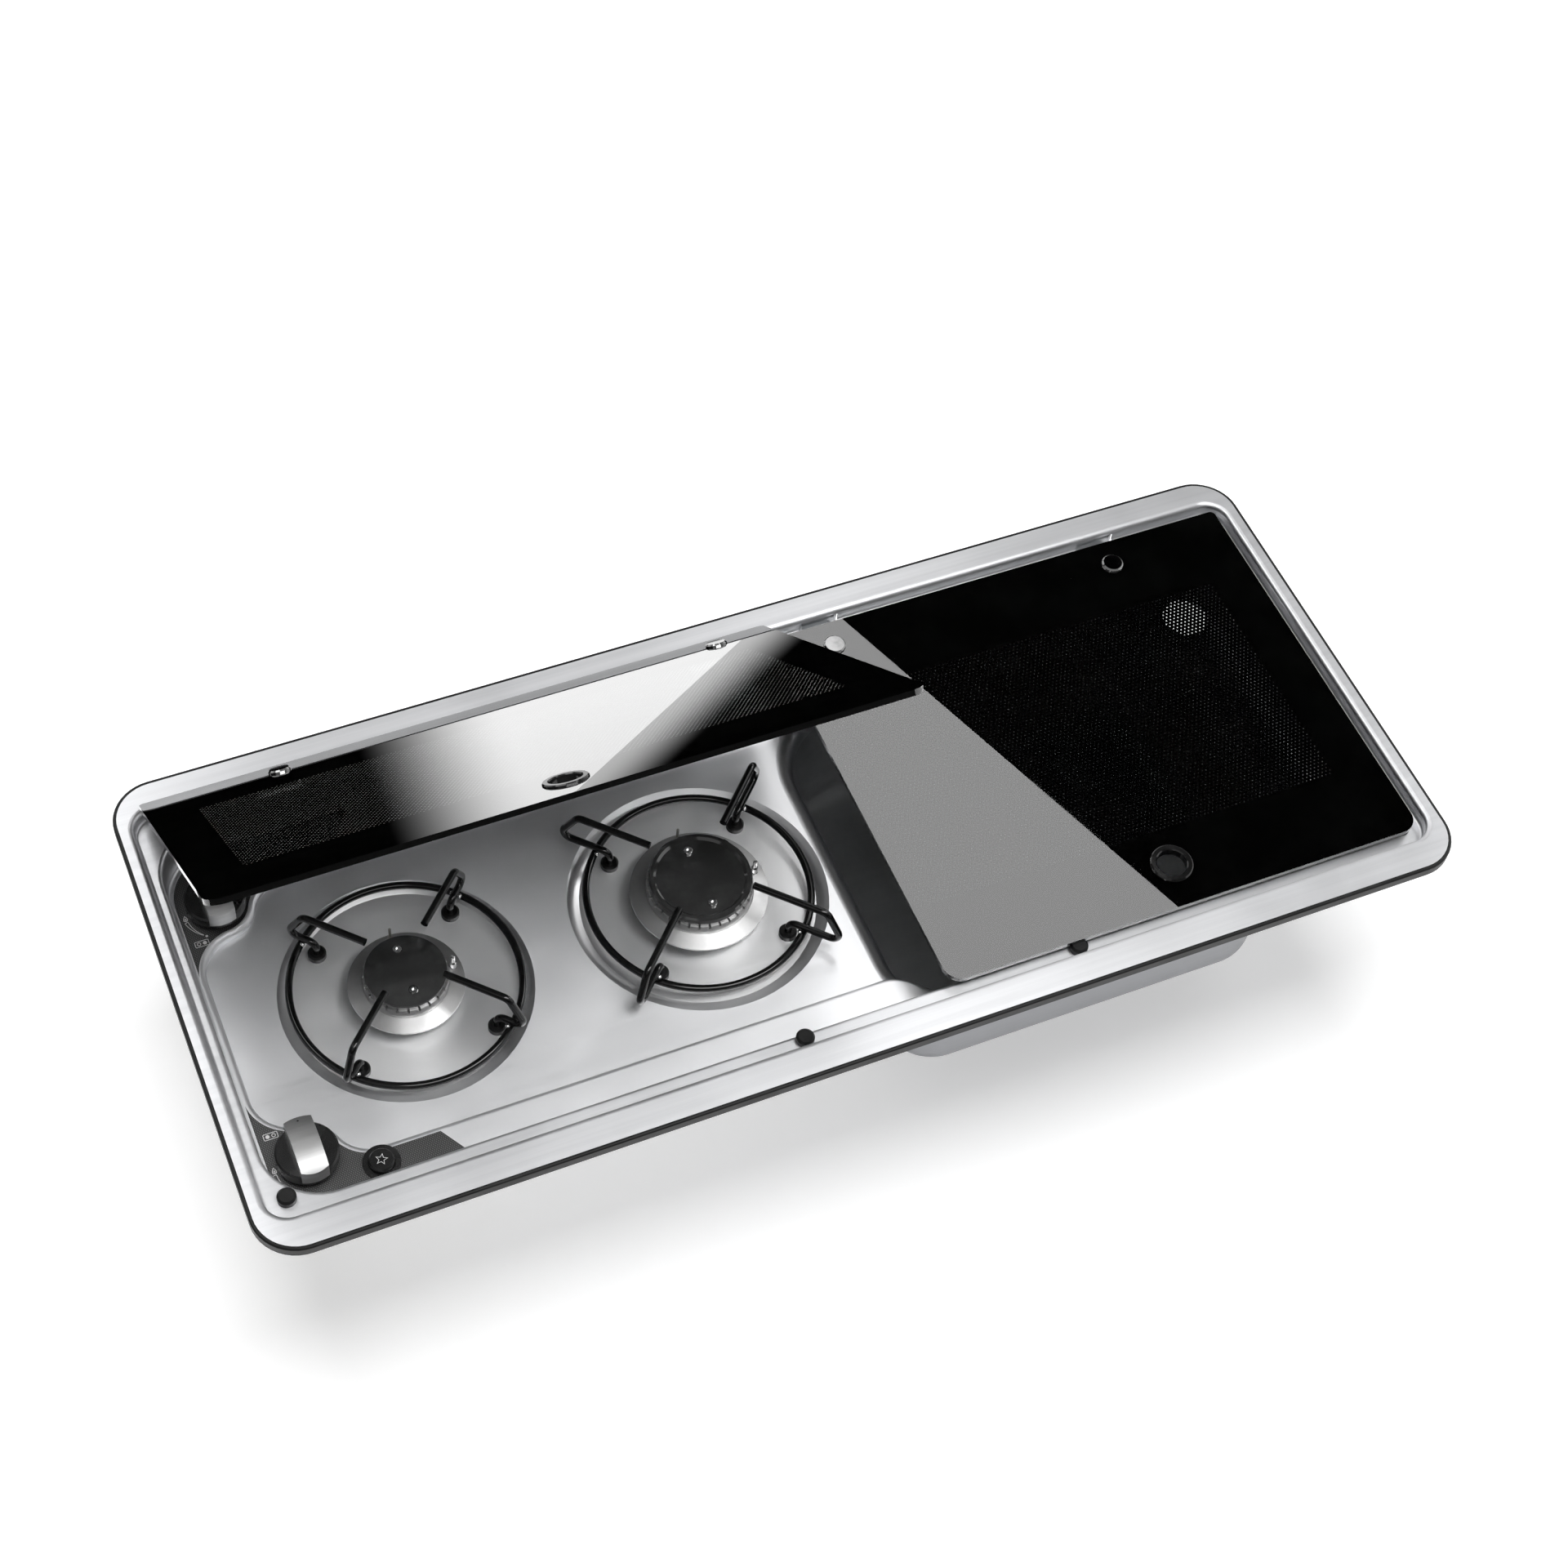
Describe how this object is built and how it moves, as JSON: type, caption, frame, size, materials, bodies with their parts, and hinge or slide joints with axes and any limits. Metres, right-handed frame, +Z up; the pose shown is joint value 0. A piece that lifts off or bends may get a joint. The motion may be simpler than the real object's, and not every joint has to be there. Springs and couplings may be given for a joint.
{
  "type": "hob and sink combination",
  "caption": "Drop-in steel kitchen unit that joins a gas hob and a sink bowl under hinged dark glass lids, with push-and-turn knobs and an ignition button.",
  "frame": {"origin": "middle of the worktop seat, the underside of the rubber edge seal", "axes": "+X towards the sink, +Y towards the lid hinges, +Z up"},
  "size_m": [0.9, 0.385, 0.438],
  "materials": {
    "steel": "bright linen-finished stainless steel",
    "bright_steel": "polished",
    "zinc_steel": "plain zinc-plated steel",
    "brushed_trim": "brushed silver trim",
    "cast_aluminium": "satin cast",
    "brass": "turned",
    "black_enamel": "black enamel",
    "seal_rubber": "matt black",
    "bush_rubber": "matt grey",
    "black_plastic": "satin black",
    "white_plastic": "satin white",
    "panel_foil": "dark printed foil",
    "ceramic": "white glazed ceramic",
    "dark_glass": "toughened dark glass"
  },
  "bodies": {
    "unit": {"top_pressing": "steel", "sink_bowl": "steel", "edge_seal": "seal_rubber", "lid_bumpers": "seal_rubber", "gas_rail": "zinc_steel", "igniter_housing": "black_plastic", "waste_strainer": "bright_steel", "waste_gasket": "seal_rubber", "waste_nut": "white_plastic", "waste_elbow": "white_plastic", "small_burner_cup": "cast_aluminium", "small_burner_head": "cast_aluminium", "small_burner_cap": "black_enamel", "small_burner_screws": "bright_steel", "small_burner_electrode": "ceramic", "small_burner_thermocouple": "bright_steel", "small_burner_jet": "brass", "small_pan_support": "black_enamel", "small_support_bushes": "bush_rubber", "large_burner_cup": "cast_aluminium", "large_burner_head": "cast_aluminium", "large_burner_cap": "black_enamel", "large_burner_screws": "bright_steel", "large_burner_electrode": "ceramic", "large_burner_thermocouple": "bright_steel", "large_burner_jet": "brass", "large_pan_support": "black_enamel", "large_support_bushes": "bush_rubber", "front_gas_tap": "brass", "front_gas_tube": "zinc_steel", "front_control_panel": "panel_foil", "rear_gas_tap": "brass", "rear_gas_tube": "zinc_steel", "rear_control_panel": "panel_foil", "hob_hinge_brackets": "zinc_steel", "hob_hinge_pins": "bright_steel", "sink_hinge_brackets": "zinc_steel", "sink_hinge_pins": "bright_steel"},
    "hob_lid": {"hob_lid_glass": "dark_glass", "hob_lid_hinge_arms": "zinc_steel", "hob_lid_hinge_caps": "bright_steel", "hob_lid_finger_ring": "black_plastic"},
    "sink_lid": {"sink_lid_glass": "dark_glass", "sink_lid_hinge_arms": "zinc_steel", "sink_lid_hinge_caps": "bright_steel", "sink_lid_finger_ring": "black_plastic"},
    "front_stem": {"front_tap_plunger": "brass"},
    "front_control": {"front_tap_spindle": "zinc_steel", "front_knob": "black_plastic", "front_knob_grip": "brushed_trim"},
    "rear_stem": {"rear_tap_plunger": "brass"},
    "rear_control": {"rear_tap_spindle": "zinc_steel", "rear_knob": "black_plastic", "rear_knob_grip": "brushed_trim"},
    "button": {"igniter_button": "black_plastic"}
  },
  "joints": [
    {"name": "hob_lid_hinge", "type": "hinge", "parent": "unit", "child": "hob_lid", "pos_m": [0, 0.175, -0.003], "axis": [-1, 0, 0], "range_deg": [-43, 52]},
    {"name": "sink_lid_hinge", "type": "hinge", "parent": "unit", "child": "sink_lid", "pos_m": [0, 0.175, -0.003], "axis": [-1, 0, 0], "range_deg": [0, 95]},
    {"name": "front_knob_push", "type": "slide", "parent": "unit", "child": "front_stem", "axis": [0, 0, -1], "range_m": [0, 0.004], "stiffness_N_per_m": 1500, "springref_m": -0.003},
    {"name": "front_knob_turn", "type": "hinge", "parent": "front_stem", "child": "front_control", "pos_m": [-0.397, -0.10857, -0.02], "axis": [0, 0, 1], "range_deg": [0, 200]},
    {"name": "rear_knob_push", "type": "slide", "parent": "unit", "child": "rear_stem", "axis": [0, 0, -1], "range_m": [0, 0.004], "stiffness_N_per_m": 1500, "springref_m": -0.003},
    {"name": "rear_knob_turn", "type": "hinge", "parent": "rear_stem", "child": "rear_control", "pos_m": [-0.397, 0.10457, -0.02], "axis": [0, 0, 1], "range_deg": [0, 200]},
    {"name": "igniter_push", "type": "slide", "parent": "unit", "child": "button", "axis": [0, 0, -1], "range_m": [0, 0.0035], "stiffness_N_per_m": 1000, "springref_m": -0.002}
  ]
}
